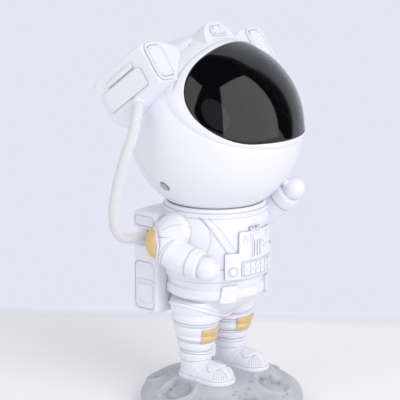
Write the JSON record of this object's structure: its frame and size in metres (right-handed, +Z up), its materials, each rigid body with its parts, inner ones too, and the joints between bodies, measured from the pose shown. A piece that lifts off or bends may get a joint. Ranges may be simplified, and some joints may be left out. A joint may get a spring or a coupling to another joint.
{
  "type": "planetarium projector",
  "caption": "Star and nebula projector lamp shaped as an astronaut on a moon base, with a head that tilts and swivels on the neck and a sleeved hose to the backpack.",
  "frame": {"origin": "centre of the flat underside of the base pad", "axes": "+Z up, the figure faces -Y, and its own right side is -X"},
  "size_m": [0.1218, 0.1045, 0.2212],
  "materials": {
    "shell_white": "satin moulded plastic",
    "pack_white": "fine matt moulded plastic",
    "plate_white": "satin moulded plastic",
    "base_grey": "matt, stone-like",
    "gold": "metallic gold coating",
    "visor_smoke": "dark see-through tint, polished",
    "dark_plastic": "plain moulded",
    "pad_rubber": "matt foam rubber",
    "steel": "plain steel",
    "weight_iron": "plain cast disc",
    "magnet": "ferrite ring",
    "lens_clear": "polished",
    "star_glass": "etched grating, polished",
    "laser_brass": "turned",
    "gear_nylon": "natural nylon",
    "film_colour": "printed colour film",
    "ripple_clear": "rippled clear plastic",
    "board_green": "circuit board",
    "sink_aluminium": "extruded",
    "button_grey": "soft matt",
    "eye_dark": "dark infrared window",
    "sleeve": "knitted sleeve"
  },
  "bodies": {
    "stand": {"moon_base_shell": "base_grey", "base_bottom_plate": "dark_plastic", "base_pad": "pad_rubber", "base_screws": "steel", "base_weight": "weight_iron", "boot_screws": "steel", "left_boot": "shell_white", "right_boot": "shell_white", "left_leg": "shell_white", "right_leg": "shell_white", "knee_patches": "gold", "elbow_patches": "gold", "torso_front_shell": "shell_white", "torso_rear_shell": "shell_white", "belt": "shell_white", "belt_tabs": "shell_white", "chest_pack": "pack_white", "left_arm": "shell_white", "right_arm": "shell_white", "neck_collar": "shell_white", "neck_deck": "dark_plastic", "backpack_front_shell": "pack_white", "backpack_rear_cover": "pack_white", "backpack_screws": "steel", "control_board": "board_green", "tact_switches": "dark_plastic", "remote_eye": "eye_dark", "usb_socket": "steel", "lower_hose_gland": "plate_white", "hose_lower": "sleeve"},
    "swivel": {"swivel_cup": "dark_plastic", "neck_magnet": "magnet"},
    "head": {"helmet_shell": "shell_white", "helmet_rear_cover": "shell_white", "helmet_screws": "steel", "visor": "visor_smoke", "visor_bezel": "shell_white", "left_lamp_housing": "shell_white", "right_lamp_housing": "shell_white", "top_lamp_housing": "shell_white", "face_plates": "plate_white", "side_panels": "plate_white", "plate_screws": "steel", "head_keeper": "steel", "projector_chassis": "dark_plastic", "nebula_lens": "lens_clear", "star_lens": "star_glass", "star_laser_module": "laser_brass", "gear_motor": "steel", "led_board": "board_green", "led_heatsink": "sink_aluminium", "upper_hose_gland": "plate_white", "hose_upper": "sleeve"},
    "film": {"film_gear": "gear_nylon", "film_disc": "film_colour"},
    "ripple": {"ripple_gear": "ripple_clear"},
    "pinion": {"motor_pinion": "gear_nylon"},
    "power": {"power_button": "button_grey"},
    "star": {"star_button": "button_grey"},
    "nebula": {"nebula_button": "button_grey"}
  },
  "joints": [
    {"name": "neck_swivel", "type": "hinge", "parent": "stand", "child": "swivel", "pos_m": [0, 0.0054, 0.163], "axis": [0, 0, 1], "range_deg": [-30, 30], "deforming": ["hose_upper", "hose_lower"]},
    {"name": "head_tilt", "type": "hinge", "parent": "swivel", "child": "head", "pos_m": [0, 0.0054, 0.163], "axis": [-0.999, -0.0436, 0], "range_deg": [-36, 34], "deforming": ["hose_upper", "hose_lower"]},
    {"name": "motor_spin", "type": "hinge", "parent": "head", "child": "pinion", "pos_m": [0.02158, 0.00634, 0.163], "axis": [-0.0353, 0.8082, -0.5878], "continuous": true},
    {"name": "film_spin", "type": "hinge", "parent": "head", "child": "film", "pos_m": [0, 0.0054, 0.163], "axis": [-0.0353, 0.8082, -0.5878], "continuous": true},
    {"name": "ripple_spin", "type": "hinge", "parent": "head", "child": "ripple", "pos_m": [0, 0.0054, 0.163], "axis": [-0.0353, 0.8082, -0.5878], "continuous": true},
    {"name": "power_press", "type": "slide", "parent": "stand", "child": "power", "axis": [0, -1, 0], "range_m": [0, 0.0005], "stiffness_N_per_m": 400},
    {"name": "star_press", "type": "slide", "parent": "stand", "child": "star", "axis": [0, -1, 0], "range_m": [0, 0.0005], "stiffness_N_per_m": 400},
    {"name": "nebula_press", "type": "slide", "parent": "stand", "child": "nebula", "axis": [0, -1, 0], "range_m": [0, 0.0005], "stiffness_N_per_m": 400}
  ],
  "couplings": [
    {"joint": "film_spin", "follows": "motor_spin", "ratio": -0.33333},
    {"joint": "ripple_spin", "follows": "motor_spin", "ratio": -0.41176}
  ]
}
